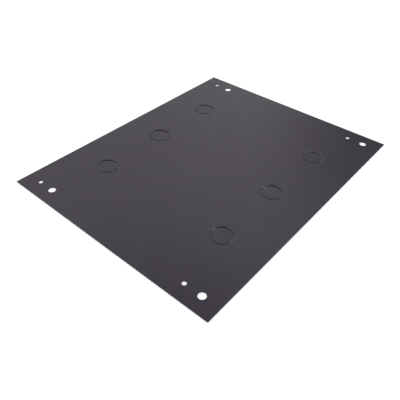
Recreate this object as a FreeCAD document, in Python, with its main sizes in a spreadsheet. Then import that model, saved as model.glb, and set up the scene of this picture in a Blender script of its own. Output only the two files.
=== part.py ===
import FreeCAD, Part
import Sketcher
import os

# Rectangular cover plate of thin sheet steel, in millimetres.
# It lies flat with its short side along X, its long side along Y and its outer face up.
# Six round knockouts are half sheared: a groove rings each disc and leaves a thin web, the
# disc sits a little low, and two ties slope down to it, so the discs are the plate's feet.
# The origin is the middle of the plate, at their foot.

SIZES = (
    ("plate_width", 400, "short side, along X"),
    ("plate_length", 500, "long side, along Y"),
    ("sheet_thickness", 1.2, "thickness of the sheet"),
    ("corner_radius", 0.8, "outline corner"),
    ("edge_radius", 0.2, "deburred edge of the outline"),
    ("large_hole_diameter", 12, "fixing hole"),
    ("small_hole_diameter", 7, "lighter fixing hole beside it"),
    ("rim_chamfer", 0.2, "broken rim of a punched hole, on the outer face"),
    ("hole_to_short_edge", 25, "hole centres to the short edge"),
    ("hole_to_long_edge_near", 30, "hole nearest a long edge"),
    ("hole_to_long_edge_far", 60, "hole further in from a long edge"),
    ("knockout_diameter", 35.5, "hole that a knockout leaves"),
    ("knockout_columns", 2, "knockouts across the plate"),
    ("knockout_rows", 3, "knockouts along the plate"),
    ("knockout_pitch_across", 246, "between the two columns"),
    ("knockout_pitch_along", 127, "between the rows"),
    ("groove_width", 2.4, "sheared groove round a disc"),
    ("web_thickness", 0.2, "sheet left under the groove"),
    ("tie_width", 7, "sloping bridge across the groove"),
    ("disc_drop", 0.4, "how far a disc is pressed below the outer face"),
)

NODE = "cover_plate"
TOLERANCE = 1e-4


def make_sheet(doc):
    """The driving dimensions, one row each: name, number, meaning."""
    sheet = doc.addObject("Spreadsheet::Sheet", "Sizes")
    for row, (name, value, meaning) in enumerate(SIZES, start=1):
        sheet.set(f"A{row}", name)
        sheet.set(f"B{row}", str(value))
        sheet.set(f"C{row}", meaning)
        sheet.setAlias(f"B{row}", name)
    doc.recompute()
    return sheet


def origin_feature(body, role):
    return next(item for item in body.Origin.OriginFeatures if item.Role == role)


def attach_sketch(body, name, plane, offset):
    """A sketch on one of the body's origin planes, its own origin placed by expressions."""
    sketch = body.newObject("Sketcher::SketchObject", name)
    sketch.AttachmentSupport = [(origin_feature(body, plane), "")]
    sketch.MapMode = "FlatFace"
    for axis, expression in zip("xyz", offset):
        sketch.setExpression(f"AttachmentOffset.Base.{axis}", expression)
    return sketch


def make_sketch(body, name, height, across="0", along="0"):
    """A sketch parallel to the plate."""
    return attach_sketch(body, name, "XY_Plane", (across, along, height))


def make_edge_view(body, name, across="0", along="0"):
    """An upright sketch that looks along the plate, with its X axis at the plate's foot."""
    return attach_sketch(body, name, "XZ_Plane", (across, "0", f"-({along})"))


def constrain(sketch, name, expression, *arguments):
    """Add a dimension to a sketch and bind it to the sheet."""
    sketch.addConstraint(Sketcher.Constraint(*arguments))
    index = sketch.ConstraintCount - 1
    sketch.renameConstraint(index, name)
    sketch.setExpression(f"Constraints.{name}", expression)


def draw_rectangle(sketch, width, length):
    """A rectangle centred on the sketch's origin."""
    corners = [
        FreeCAD.Vector(-1, -1, 0),
        FreeCAD.Vector(1, -1, 0),
        FreeCAD.Vector(1, 1, 0),
        FreeCAD.Vector(-1, 1, 0),
    ]
    for side, start in enumerate(corners):
        end = corners[(side + 1) % len(corners)]
        sketch.addGeometry(Part.LineSegment(start, end), False)
    for side in range(len(corners)):
        following = (side + 1) % len(corners)
        sketch.addConstraint(Sketcher.Constraint("Coincident", side, 2, following, 1))
    for side, direction in enumerate(("Horizontal", "Vertical", "Horizontal", "Vertical")):
        sketch.addConstraint(Sketcher.Constraint(direction, side))
    sketch.addConstraint(Sketcher.Constraint("Symmetric", 0, 1, 1, 2, -1, 1))
    constrain(sketch, "width", width, "DistanceX", 0, 1, 0, 2, 2)
    constrain(sketch, "length", length, "DistanceY", 1, 1, 1, 2, 2)


def draw_circle(sketch, diameter):
    """A circle round the sketch's origin."""
    circle = Part.Circle(FreeCAD.Vector(0, 0, 0), FreeCAD.Vector(0, 0, 1), 1)
    sketch.addGeometry(circle, False)
    sketch.addConstraint(Sketcher.Constraint("Coincident", 0, 3, -1, 1))
    constrain(sketch, "diameter", diameter, "Diameter", 0, 2)


def draw_split_ring(sketch, outer_radius, inner_radius, tie_half_width):
    """Two halves of a ring round the sketch's origin, parted by the ties along its X axis."""
    start_outer = float(sketch.evalExpression(outer_radius))
    start_inner = float(sketch.evalExpression(inner_radius))
    half_tie = float(sketch.evalExpression(tie_half_width))
    for half, side in enumerate((1, -1)):
        ends = []
        for radius in (start_outer, start_inner):
            reach = (radius ** 2 - half_tie ** 2) ** 0.5
            right = FreeCAD.Vector(reach, side * half_tie, 0)
            left = FreeCAD.Vector(-reach, side * half_tie, 0)
            crown = FreeCAD.Vector(0, side * radius, 0)
            sketch.addGeometry(Part.Arc(right, crown, left), False)
            ends.append((right, left))
        (outer_right, outer_left), (inner_right, inner_left) = ends
        sketch.addGeometry(Part.LineSegment(outer_right, inner_right), False)
        sketch.addGeometry(Part.LineSegment(outer_left, inner_left), False)
        outer, inner, right_end, left_end = range(4 * half, 4 * half + 4)
        # An arc is stored anticlockwise, so the lower half starts at its left end
        at_right, at_left = (1, 2) if side > 0 else (2, 1)
        for arc, line_point in ((outer, 1), (inner, 2)):
            sketch.addConstraint(Sketcher.Constraint("Coincident", arc, 3, -1, 1))
            sketch.addConstraint(Sketcher.Constraint("Coincident", arc, at_right, right_end, line_point))
            sketch.addConstraint(Sketcher.Constraint("Coincident", arc, at_left, left_end, line_point))
        constrain(sketch, f"outer_radius_{half}", outer_radius, "Radius", outer, start_outer)
        constrain(sketch, f"inner_radius_{half}", inner_radius, "Radius", inner, start_inner)
        for end, line in (("right", right_end), ("left", left_end)):
            sketch.addConstraint(Sketcher.Constraint("Horizontal", line))
            pair = (-1, 1, line, 1) if side > 0 else (line, 1, -1, 1)
            constrain(sketch, f"tie_{end}_{half}", tie_half_width, "DistanceY", *pair, half_tie)


def draw_bent_strip(sketch, inner_reach, outer_reach, drop, thickness):
    """The edge view of a strip bent down in its middle, even about the sketch's Y axis."""
    reach_in = float(sketch.evalExpression(inner_reach))
    reach_out = float(sketch.evalExpression(outer_reach))
    low = float(sketch.evalExpression(drop))
    thick = float(sketch.evalExpression(thickness))
    right = [(reach_in, 0), (reach_out, low), (reach_out, low + thick), (reach_in, thick)]
    left = [(-across, height) for across, height in reversed(right)]
    corners = [FreeCAD.Vector(across, height, 0) for across, height in right + left]
    for side, start in enumerate(corners):
        sketch.addGeometry(Part.LineSegment(start, corners[(side + 1) % len(corners)]), False)
    for side in range(len(corners)):
        following = (side + 1) % len(corners)
        sketch.addConstraint(Sketcher.Constraint("Coincident", side, 2, following, 1))
    for side in range(len(right)):
        mirrored = len(corners) - 1 - side
        sketch.addConstraint(Sketcher.Constraint("Symmetric", side, 1, mirrored, 1, -2))
    sketch.addConstraint(Sketcher.Constraint("PointOnObject", 0, 1, -1))
    sketch.addConstraint(Sketcher.Constraint("Vertical", 1))
    sketch.addConstraint(Sketcher.Constraint("Vertical", 0, 1, 3, 1))
    constrain(sketch, "inner_reach", inner_reach, "DistanceX", -1, 1, 0, 1, reach_in)
    constrain(sketch, "outer_reach", outer_reach, "DistanceX", -1, 1, 1, 1, reach_out)
    constrain(sketch, "drop", drop, "DistanceY", -1, 1, 1, 1, low)
    constrain(sketch, "outer_thickness", thickness, "DistanceY", 1, 1, 2, 1, thick)
    constrain(sketch, "inner_thickness", thickness, "DistanceY", -1, 1, 3, 1, thick)


def make_pad(body, name, sketch, length, downward=False, both_ways=False):
    pad = body.newObject("PartDesign::Pad", name)
    pad.Profile = sketch
    pad.Reversed = downward
    pad.SideType = "Symmetric" if both_ways else "One side"
    pad.setExpression("Length", length)
    return pad


def make_pocket(body, name, sketch, depth):
    """A cut downward from its sketch."""
    pocket = body.newObject("PartDesign::Pocket", name)
    pocket.Profile = sketch
    pocket.Type = "Length"
    pocket.Reversed = False
    pocket.setExpression("Length", depth)
    return pocket


def make_grid(body, name, features, columns, rows, extent_across, extent_along):
    """Copies of features in columns along X and rows along Y, from first to last."""
    grid = body.newObject("PartDesign::LinearPattern", name)
    grid.Originals = features
    grid.Direction = (origin_feature(body, "X_Axis"), [""])
    grid.Direction2 = (origin_feature(body, "Y_Axis"), [""])
    grid.Mode = "Extent"
    grid.Mode2 = "Extent"
    grid.setExpression("Occurrences", columns)
    grid.setExpression("Occurrences2", rows)
    grid.setExpression("Length", extent_across)
    grid.setExpression("Length2", extent_along)
    body.Tip = grid
    return grid


def dress_edges(body, kind, name, base, wanted, size_name, size):
    """Round or chamfer the edges of base that wanted accepts."""
    edges = [f"Edge{n}" for n, edge in enumerate(base.Shape.Edges, start=1) if wanted(edge)]
    dressed = body.newObject(f"PartDesign::{kind}", name)
    dressed.Base = (base, edges)
    dressed.setExpression(size_name, size)
    return dressed


def make_fillet(body, name, base, wanted, radius):
    return dress_edges(body, "Fillet", name, base, wanted, "Radius", radius)


def make_chamfer(body, name, base, wanted, size):
    return dress_edges(body, "Chamfer", name, base, wanted, "Size", size)


def is_upright(edge):
    ends = edge.Vertexes
    return len(ends) == 2 and abs(ends[0].Z - ends[1].Z) > TOLERANCE


def is_level(edge):
    return edge.BoundBox.ZLength < TOLERANCE


def make_rim_test(height, diameters):
    """A test for the rims, at one height, of round holes of the given diameters."""
    def is_rim(edge):
        round_edge = isinstance(edge.Curve, Part.Circle)
        if not round_edge or not is_level(edge) or abs(edge.BoundBox.ZMax - height) > TOLERANCE:
            return False
        return any(abs(2 * edge.Curve.Radius - diameter) < TOLERANCE for diameter in diameters)
    return is_rim


def add_blank(doc, body):
    """The sheared blank: a flat rectangle with rounded corners and deburred edges."""
    outline = make_sketch(body, "outline", height="Sizes.disc_drop")
    draw_rectangle(outline, "Sizes.plate_width", "Sizes.plate_length")
    blank = make_pad(body, "blank", outline, "Sizes.sheet_thickness")
    doc.recompute()
    corners = make_fillet(body, "corners", blank, is_upright, "Sizes.corner_radius")
    doc.recompute()
    edge_radius = "min(Sizes.edge_radius; Sizes.sheet_thickness / 3; Sizes.corner_radius * 0.9)"
    make_fillet(body, "deburred_edge", corners, is_level, edge_radius)
    doc.recompute()


def add_fixing_holes(doc, body, name, diameter, left_edge, right_edge):
    """Four holes, one by each corner, set in from the long edges by unequal amounts."""
    sketch = make_sketch(
        body,
        f"{name}_hole",
        height="Sizes.disc_drop + Sizes.sheet_thickness",
        across=f"{left_edge} - Sizes.plate_width / 2",
        along="Sizes.hole_to_short_edge - Sizes.plate_length / 2",
    )
    draw_circle(sketch, diameter)
    hole = make_pocket(body, f"{name}_punch", sketch, "Sizes.sheet_thickness")
    doc.recompute()
    make_grid(
        body,
        f"{name}_holes",
        [hole],
        columns="2",
        rows="2",
        extent_across=f"Sizes.plate_width - {left_edge} - {right_edge}",
        extent_along="Sizes.plate_length - 2 * Sizes.hole_to_short_edge",
    )
    doc.recompute()


def add_knockouts(doc, body):
    """Half-sheared discs in a grid round the plate's middle."""
    extent_across = "Sizes.knockout_pitch_across * (Sizes.knockout_columns - 1)"
    extent_along = "Sizes.knockout_pitch_along * (Sizes.knockout_rows - 1)"
    first_place = {"across": f"-{extent_across} / 2", "along": f"-{extent_along} / 2"}
    outer_face = "Sizes.disc_drop + Sizes.sheet_thickness"
    disc_diameter = "Sizes.knockout_diameter - 2 * Sizes.groove_width"

    recess_sketch = make_sketch(body, "recess_circle", height=outer_face, **first_place)
    draw_circle(recess_sketch, "Sizes.knockout_diameter")
    recess = make_pocket(body, "recess", recess_sketch, "Sizes.disc_drop")

    foot_sketch = make_sketch(body, "foot_circle", height="Sizes.disc_drop", **first_place)
    draw_circle(foot_sketch, disc_diameter)
    foot = make_pad(body, "foot", foot_sketch, "Sizes.disc_drop", downward=True)

    groove_sketch = make_sketch(body, "groove_halves", height=outer_face, **first_place)
    draw_split_ring(
        groove_sketch,
        outer_radius="Sizes.knockout_diameter / 2",
        inner_radius=f"({disc_diameter}) / 2",
        tie_half_width="Sizes.tie_width / 2",
    )
    groove = make_pocket(body, "groove", groove_sketch, "Sizes.sheet_thickness - Sizes.web_thickness")

    tie_sketch = make_edge_view(body, "tie_profile", **first_place)
    draw_bent_strip(
        tie_sketch,
        inner_reach=f"sqrt((({disc_diameter}) / 2) ^ 2 - (Sizes.tie_width / 2) ^ 2)",
        outer_reach="Sizes.knockout_diameter / 2",
        drop="Sizes.disc_drop",
        thickness="Sizes.sheet_thickness",
    )
    ties = make_pad(body, "ties", tie_sketch, "Sizes.tie_width", both_ways=True)
    doc.recompute()

    make_grid(
        body,
        "knockouts",
        [recess, foot, groove, ties],
        columns="Sizes.knockout_columns",
        rows="Sizes.knockout_rows",
        extent_across=extent_across,
        extent_along=extent_along,
    )
    doc.recompute()


def add_rims(doc, body, sheet):
    """The broken rims of the punched holes, on the outer face."""
    outer_face = sheet.disc_drop + sheet.sheet_thickness
    diameters = (sheet.large_hole_diameter, sheet.small_hole_diameter)
    rim_chamfer = "min(Sizes.rim_chamfer; Sizes.sheet_thickness / 3)"
    make_chamfer(body, "rims", body.Tip, make_rim_test(outer_face, diameters), rim_chamfer)
    doc.recompute()


def make_cover_plate(doc, sheet):
    body = doc.addObject("PartDesign::Body", "CoverPlate")
    body.Label = NODE
    add_blank(doc, body)
    near = "Sizes.hole_to_long_edge_near"
    far = "Sizes.hole_to_long_edge_far"
    add_fixing_holes(doc, body, "large", "Sizes.large_hole_diameter", left_edge=far, right_edge=near)
    add_fixing_holes(doc, body, "small", "Sizes.small_hole_diameter", left_edge=near, right_edge=far)
    add_knockouts(doc, body)
    add_rims(doc, body, sheet)
    body.Placement = FreeCAD.Placement()
    doc.recompute()
    return body


def check_document(doc):
    """Stop if any feature failed, or if a cut took nothing away."""
    for item in doc.Objects:
        failed = [state for state in item.State if state in ("Invalid", "Error")]
        if failed:
            raise RuntimeError(f"{item.Name} is {failed[0]}")
        if item.TypeId == "PartDesign::Pocket":
            removed = item.BaseFeature.Shape.Volume - item.Shape.Volume
            if removed < TOLERANCE:
                raise RuntimeError(f"{item.Name} cuts nothing")


def export_node(body):
    shape = body.Shape
    if shape.isNull() or not shape.isValid() or len(shape.Solids) != 1:
        raise RuntimeError(f"{body.Label} is not one valid solid")
    os.makedirs("parts", exist_ok=True)
    shape.exportStep(os.path.join("parts", f"{body.Label}.step"))
    box = shape.BoundBox
    size = f"{box.XLength:.2f} x {box.YLength:.2f} x {box.ZLength:.2f} mm"
    print(f"{body.Label}: {size}, {shape.Volume:.1f} mm3, {len(shape.Faces)} faces")


def main():
    doc = FreeCAD.newDocument("CoverPlate")
    sheet = make_sheet(doc)
    body = make_cover_plate(doc, sheet)
    check_document(doc)
    export_node(body)


main()
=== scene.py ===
import math

import bmesh
import bpy
from mathutils import Matrix, Vector

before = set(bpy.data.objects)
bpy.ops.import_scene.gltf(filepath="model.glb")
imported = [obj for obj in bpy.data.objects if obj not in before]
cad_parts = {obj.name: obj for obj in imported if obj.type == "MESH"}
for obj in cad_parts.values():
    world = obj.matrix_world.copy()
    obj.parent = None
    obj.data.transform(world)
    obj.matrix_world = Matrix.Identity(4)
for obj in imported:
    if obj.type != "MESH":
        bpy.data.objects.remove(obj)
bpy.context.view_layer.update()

PLATE = "cover_plate"
MM = 0.001

# Studio
FLOOR_HALF_WIDTH = 6.0
FLOOR_WHITE = 0.97
FLOOR_LIFT = 0.25
ROOM_LIGHT = 1.025
# Weaker patches of the room, in degrees: azimuth from +Y towards -X, elevation, the radius that is
# fully dimmed and the radius where the dimming ends, then the share of light left
DIM_PATCHES = (
    (10.2, 25.7, 8, 20, 0.03),
    (57, 66, 12, 18, 0.12),
    (44, 65, 9, 20, 0.5),
    (64, 3, 19, 47, 0.55),
)

# Powder coat: its pigment drifts between two tones and its gloss between two roughnesses, over a fine
# peel and a finer grain
PIGMENT_DARK = (0.0235, 0.0172, 0.0285, 1)
PIGMENT_LIGHT = (0.0260, 0.0190, 0.0315, 1)
PIGMENT_CLOUD_WIDTH = 90 * MM
COAT_ROUGHNESS = (0.27, 0.35)
GLOSS_PATCH_WIDTH = 35 * MM
COAT_IOR = 1.6
COAT_GLOSS_TINT = (0.97, 0.93, 1.0, 1)
PEEL_WIDTH, PEEL_DEPTH = 1.8 * MM, 30e-6
GRAIN_WIDTH, GRAIN_DEPTH = 0.35 * MM, 3e-6
# Parts of a noise's range that a pattern is stretched over
MIDDLE_OF_NOISE = (0.3, 0.7)
MOST_OF_NOISE = (0.25, 0.75)

# Marks on the coat by the knockouts. A mark is told by its knockout's middle, its near and far radius
# in mm, and its first and last plan angle in degrees. Its rim wavers a little
KNOCKOUTS = tuple((x, y) for x in (-123, 123) for y in (-127, 0, 127))
RIM_WAVE_WIDTH = 0.5 * MM
RIM_WAVE = 0.06 * MM
# Marks lie above this height, on the upper side only
UPPER_SIDE = 0.5 * MM

# Coat worn to bright steel at the ties and rims
WORN_STREAKS = (
    ((123, -127), (16.5, 17.6), (170.9, 174.9)),
    ((123, -127), (17.75, 17.9), (-8, 26)),
    ((123, 0), (14.6, 18.3), (171.1, 173.1)),
    ((123, 0), (20.15, 20.22), (82, 130)),
    ((123, 127), (18.55, 18.7), (143, 167)),
    ((-123, 127), (17.4, 17.72), (-170, -125)),
    ((-123, 127), (20.15, 20.4), (86, 101)),
    ((-123, -127), (20.15, 20.35), (92, 101)),
)
BARE_STEEL = (0.58, 0.56, 0.57, 1)
BARE_STEEL_ROUGHNESS = 0.3

# Runs of the grooves, told without a radius, where painted light lies on the floor and the walls: pale
# colour that cancels the grooves' shade
PAINTED_LIGHT_RUNS = (
    ((-123, -127), (-160, -52)),
    ((-123, -127), (50, 82)),
    ((-123, 0), (-157, -130)),
    ((-123, 0), (48, 70)),
    ((-123, 127), (-158, -143)),
    ((-123, 127), (38, 54)),
    ((123, -127), (-180, -132)),
    ((123, -127), (-22, -5)),
    ((123, -127), (26, 52)),
    ((123, -127), (152, 170)),
    ((123, 0), (-180, -136)),
    ((123, 0), (-37, 0)),
    ((123, 0), (34, 64)),
    ((123, 0), (143, 168)),
    ((123, 127), (-169, -126)),
    ((123, 127), (-94, -10)),
    ((123, 127), (10, 98)),
    ((123, 127), (128, 169)),
)
PAINTED_LIGHT_FLOOR_RADII = (17.4, 20.2)
PAINTED_LIGHT_WALL_RADII = ((17.5, 17.85), (20.05, 20.15))
# Painted light: pale colours that cancel the shade in the grooves, paler on the walls, where less
# light falls
PAINTED_FLOOR_LIGHT_COLOUR = (0.045, 0.040, 0.049, 1)
PAINTED_WALL_LIGHT_COLOUR = (0.14, 0.13, 0.145, 1)

# Painted shade in the grooves: near-black colour that deepens their dark arcs
PAINTED_SHADE_STREAKS = (
    ((-123, -127), (18.6, 20.1), (132, 172)),
    ((-123, -127), (18.0, 19.2), (-24, 16)),
    ((-123, 0), (18.0, 19.2), (-126, -84)),
    ((-123, 0), (18.0, 19.2), (-12, 36)),
    ((-123, 0), (18.7, 20.1), (78, 100)),
    ((-123, 0), (18.2, 20.1), (112, 172)),
    ((-123, 127), (18.0, 19.2), (-140, -96)),
    ((-123, 127), (18.0, 18.8), (-66, -24)),
    ((-123, 127), (18.4, 20.1), (78, 98)),
    ((-123, 127), (18.2, 20.1), (112, 142)),
    ((123, -127), (18.0, 18.5), (-126, -100)),
    ((123, -127), (18.0, 18.7), (-54, -36)),
    ((123, -127), (18.8, 20.1), (112, 144)),
    ((123, 0), (18.0, 18.5), (-128, -100)),
    ((123, 0), (18.5, 20.1), (98, 132)),
)
# Painted shade: the near-black of the streaks above
PAINTED_SHADE_COLOUR = (0.003, 0.001, 0.006, 1)
# Roughness where light and shade are painted in the grooves
PAINTED_LIGHT_AND_SHADE_ROUGHNESS = 0.85

# Camera, from the outline and the hole centres of the plate in the photograph
CAMERA_PLACE = Vector((0.38938, -0.49576, 0.46207))
CAMERA_AIM = Vector((0.04987, -0.08900, 0.0015))
CAMERA_ROLL = math.radians(1.158)
CAMERA_LENS = 40.926
SENSOR_WIDTH = 36.0
CLIP_START = 0.01


class Nodes:
    """Short forms for building one node tree."""

    def __init__(self, tree):
        self.tree = tree
        self.tree.nodes.clear()

    def add(self, kind, **settings):
        node = self.tree.nodes.new(kind)
        for name, value in settings.items():
            setattr(node, name, value)
        return node

    def link(self, source, target):
        self.tree.links.new(source, target)

    def feed(self, socket, value):
        """Link a socket to another, or give it a plain value."""
        if isinstance(value, bpy.types.NodeSocket):
            self.link(value, socket)
        else:
            socket.default_value = value

    def math(self, operation, *values):
        node = self.add("ShaderNodeMath", operation=operation)
        for socket, value in zip(node.inputs, values):
            self.feed(socket, value)
        return node.outputs[0]

    def noise(self, place, width, detail=2.0, roughness=0.5):
        """A noise whose features lie about one width apart."""
        node = self.add("ShaderNodeTexNoise")
        self.link(place, node.inputs["Vector"])
        node.inputs["Scale"].default_value = 1 / width
        node.inputs["Detail"].default_value = detail
        node.inputs["Roughness"].default_value = roughness
        return node.outputs["Fac"]

    def spread(self, value, from_range, to_range, shape="LINEAR"):
        """Map a value from one range to another, clamped."""
        node = self.add("ShaderNodeMapRange", interpolation_type=shape)
        self.feed(node.inputs["Value"], value)
        node.inputs["From Min"].default_value, node.inputs["From Max"].default_value = from_range
        node.inputs["To Min"].default_value, node.inputs["To Max"].default_value = to_range
        return node.outputs["Result"]

    def blend(self, kind, share, first, second):
        """From the first colour or number to the second by a share."""
        node = self.add("ShaderNodeMix", data_type=kind)
        self.feed(node.inputs["Factor"], share)
        self.feed(node.inputs["A"], first)
        self.feed(node.inputs["B"], second)
        return node.outputs["Result"]

    def within(self, value, low, high):
        """One where a value lies between two bounds, else nought."""
        return self.math("COMPARE", value, (low + high) / 2, (high - low) / 2)

    def parts(self, vector):
        """The X, Y and Z of a vector."""
        node = self.add("ShaderNodeSeparateXYZ")
        self.link(vector, node.inputs["Vector"])
        return tuple(node.outputs)

    def bump(self, height, depth, normal=None):
        """A relief of the given depth in metres, over another relief if one is given."""
        node = self.add("ShaderNodeBump")
        node.inputs["Distance"].default_value = depth
        self.link(height, node.inputs["Height"])
        if normal is not None:
            self.link(normal, node.inputs["Normal"])
        return node.outputs["Normal"]

    def seen_directly(self):
        """One for rays from the camera, in mirrors and through glass, else nought."""
        path = self.add("ShaderNodeLightPath")
        seen = self.math("MAXIMUM", path.outputs["Is Camera Ray"], path.outputs["Is Glossy Ray"])
        return self.math("MAXIMUM", seen, path.outputs["Is Transmission Ray"])


def round_knockouts(n, place):
    """Radius and plan angle about each knockout's middle, the radius wavering a little."""
    wave = n.spread(n.noise(place, RIM_WAVE_WIDTH), MIDDLE_OF_NOISE, (-RIM_WAVE, RIM_WAVE))
    polar = {}
    for knockout in KNOCKOUTS:
        shift = n.add("ShaderNodeVectorMath", operation="SUBTRACT")
        n.link(place, shift.inputs[0])
        shift.inputs[1].default_value = (knockout[0] * MM, knockout[1] * MM, 0)
        x, y, _ = n.parts(shift.outputs["Vector"])
        radius = n.math("SQRT", n.math("ADD", n.math("MULTIPLY", x, x), n.math("MULTIPLY", y, y)))
        polar[knockout] = n.math("ADD", radius, wave), n.math("ARCTAN2", y, x)
    return polar


def marked(n, polar, upper, streaks):
    """One on the streaks on the upper side, else nought."""
    on_any = 0.0
    for knockout, radii, angles in streaks:
        radius, angle = polar[knockout]
        near, far = (value * MM for value in radii)
        first, last = (math.radians(value) for value in angles)
        streak = n.math("MULTIPLY", n.within(radius, near, far), n.within(angle, first, last))
        on_any = n.math("MAXIMUM", on_any, streak)
    return n.math("MULTIPLY", on_any, upper)


def make_powder_coat():
    """Satin dark grey coat, faintly violet; with painted light and painted shade in the grooves, worn
    at some ties.
    """
    coat = bpy.data.materials.new("satin_powder_coat")
    coat.use_nodes = True
    n = Nodes(coat.node_tree)
    place = n.add("ShaderNodeTexCoord").outputs["Object"]
    shader = n.add("ShaderNodeBsdfPrincipled")
    output = n.add("ShaderNodeOutputMaterial")
    n.link(shader.outputs["BSDF"], output.inputs["Surface"])

    upper = n.math("GREATER_THAN", n.parts(place)[2], UPPER_SIDE)
    polar = round_knockouts(n, place)
    # Masks of painted light on the grooves' floors and walls, of painted shade in the grooves, and of
    # wear
    floor_light_streaks = [(knockout, PAINTED_LIGHT_FLOOR_RADII, run) for knockout, run in PAINTED_LIGHT_RUNS]
    wall_light_streaks = [(knockout, wall, run) for knockout, run in PAINTED_LIGHT_RUNS for wall in PAINTED_LIGHT_WALL_RADII]
    painted_floor_light = marked(n, polar, upper, floor_light_streaks)
    painted_wall_light = marked(n, polar, upper, wall_light_streaks)
    painted_shade = marked(n, polar, upper, PAINTED_SHADE_STREAKS)
    wear = marked(n, polar, upper, WORN_STREAKS)

    clouds = n.spread(n.noise(place, PIGMENT_CLOUD_WIDTH, detail=3), MIDDLE_OF_NOISE, (0, 1))
    colour = n.blend("RGBA", clouds, PIGMENT_DARK, PIGMENT_LIGHT)
    # Pale colour painted into some grooves cancels their shade; near-black painted into others deepens
    # it
    colour = n.blend("RGBA", painted_floor_light, colour, PAINTED_FLOOR_LIGHT_COLOUR)
    colour = n.blend("RGBA", painted_wall_light, colour, PAINTED_WALL_LIGHT_COLOUR)
    colour = n.blend("RGBA", painted_shade, colour, PAINTED_SHADE_COLOUR)
    colour = n.blend("RGBA", wear, colour, BARE_STEEL)
    n.link(colour, shader.inputs["Base Color"])
    n.link(wear, shader.inputs["Metallic"])

    gloss_patches = n.noise(place, GLOSS_PATCH_WIDTH, detail=4, roughness=0.6)
    roughness = n.spread(gloss_patches, MOST_OF_NOISE, COAT_ROUGHNESS)
    # The painted light on the grooves' floors and the painted shade are matt
    painted_light_and_shade = n.math("MAXIMUM", painted_floor_light, painted_shade)
    roughness = n.blend("FLOAT", painted_light_and_shade, roughness, PAINTED_LIGHT_AND_SHADE_ROUGHNESS)
    roughness = n.blend("FLOAT", wear, roughness, BARE_STEEL_ROUGHNESS)
    n.link(roughness, shader.inputs["Roughness"])
    shader.inputs["IOR"].default_value = COAT_IOR
    shader.inputs["Specular Tint"].default_value = COAT_GLOSS_TINT

    grain = n.bump(n.noise(place, GRAIN_WIDTH, detail=2), GRAIN_DEPTH)
    peel = n.bump(n.noise(place, PEEL_WIDTH, detail=1), PEEL_DEPTH, grain)
    n.link(peel, shader.inputs["Normal"])
    return coat


def make_floor():
    """A white table top under the plate, lifted to full white where it is seen."""
    mesh = bpy.data.meshes.new("floor")
    shape = bmesh.new()
    bmesh.ops.create_grid(shape, x_segments=1, y_segments=1, size=FLOOR_HALF_WIDTH)
    shape.to_mesh(mesh)
    shape.free()
    white = bpy.data.materials.new("white_table")
    white.use_nodes = True
    n = Nodes(white.node_tree)
    diffuse = n.add("ShaderNodeBsdfDiffuse")
    diffuse.inputs["Color"].default_value = (FLOOR_WHITE, FLOOR_WHITE, FLOOR_WHITE, 1)
    glow = n.add("ShaderNodeEmission")
    n.link(n.math("MULTIPLY", n.seen_directly(), FLOOR_LIFT), glow.inputs["Strength"])
    both = n.add("ShaderNodeAddShader")
    n.link(diffuse.outputs["BSDF"], both.inputs[0])
    n.link(glow.outputs["Emission"], both.inputs[1])
    output = n.add("ShaderNodeOutputMaterial")
    n.link(both.outputs["Shader"], output.inputs["Surface"])
    mesh.materials.append(white)
    floor = bpy.data.objects.new("floor", mesh)
    bpy.context.scene.collection.objects.link(floor)


def direction(azimuth, elevation):
    """A unit vector; azimuth turns from +Y towards -X."""
    level = math.cos(elevation)
    return Vector((-math.sin(azimuth) * level, math.cos(azimuth) * level, math.sin(elevation)))


def dim_patch(n, towards, azimuth, elevation, inner, outer, light_left):
    """A share of the light that falls to light_left inside a round patch of the room."""
    middle = direction(math.radians(azimuth), math.radians(elevation))
    nearness = n.add("ShaderNodeVectorMath", operation="DOT_PRODUCT")
    n.link(towards, nearness.inputs[0])
    nearness.inputs[1].default_value = middle
    rim = math.cos(math.radians(outer)), math.cos(math.radians(inner))
    return n.spread(nearness.outputs["Value"], rim, (1.0, light_left), shape="SMOOTHSTEP")


def make_room_light():
    """Even white light all round, weaker in a few soft patches; white where it is seen."""
    world = bpy.data.worlds.new("studio")
    world.use_nodes = True
    bpy.context.scene.world = world
    n = Nodes(world.node_tree)
    towards = n.add("ShaderNodeTexCoord").outputs["Generated"]
    light = ROOM_LIGHT
    for patch in DIM_PATCHES:
        light = n.math("MULTIPLY", light, dim_patch(n, towards, *patch))
    seen = n.add("ShaderNodeLightPath").outputs["Is Camera Ray"]
    background = n.add("ShaderNodeBackground")
    background.inputs["Color"].default_value = (1, 1, 1, 1)
    n.link(n.blend("FLOAT", seen, light, 1.0), background.inputs["Strength"])
    output = n.add("ShaderNodeOutputWorld")
    n.link(background.outputs["Background"], output.inputs["Surface"])


def make_camera():
    """The photograph's viewing angle."""
    data = bpy.data.cameras.new("camera")
    data.sensor_fit = "HORIZONTAL"
    data.sensor_width = SENSOR_WIDTH
    data.lens = CAMERA_LENS
    data.clip_start = CLIP_START
    camera = bpy.data.objects.new("camera", data)
    bpy.context.scene.collection.objects.link(camera)
    aim = (CAMERA_AIM - CAMERA_PLACE).to_track_quat("-Z", "Y").to_matrix().to_4x4()
    roll = Matrix.Rotation(CAMERA_ROLL, 4, "Z")
    camera.matrix_world = Matrix.Translation(CAMERA_PLACE) @ aim @ roll
    bpy.context.scene.camera = camera


def dress_plate(coat):
    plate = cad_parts[PLATE]
    for material_slot in plate.material_slots:
        material_slot.material = coat


make_floor()
make_room_light()
make_camera()
dress_plate(make_powder_coat())
bpy.context.scene.view_settings.view_transform = "Standard"
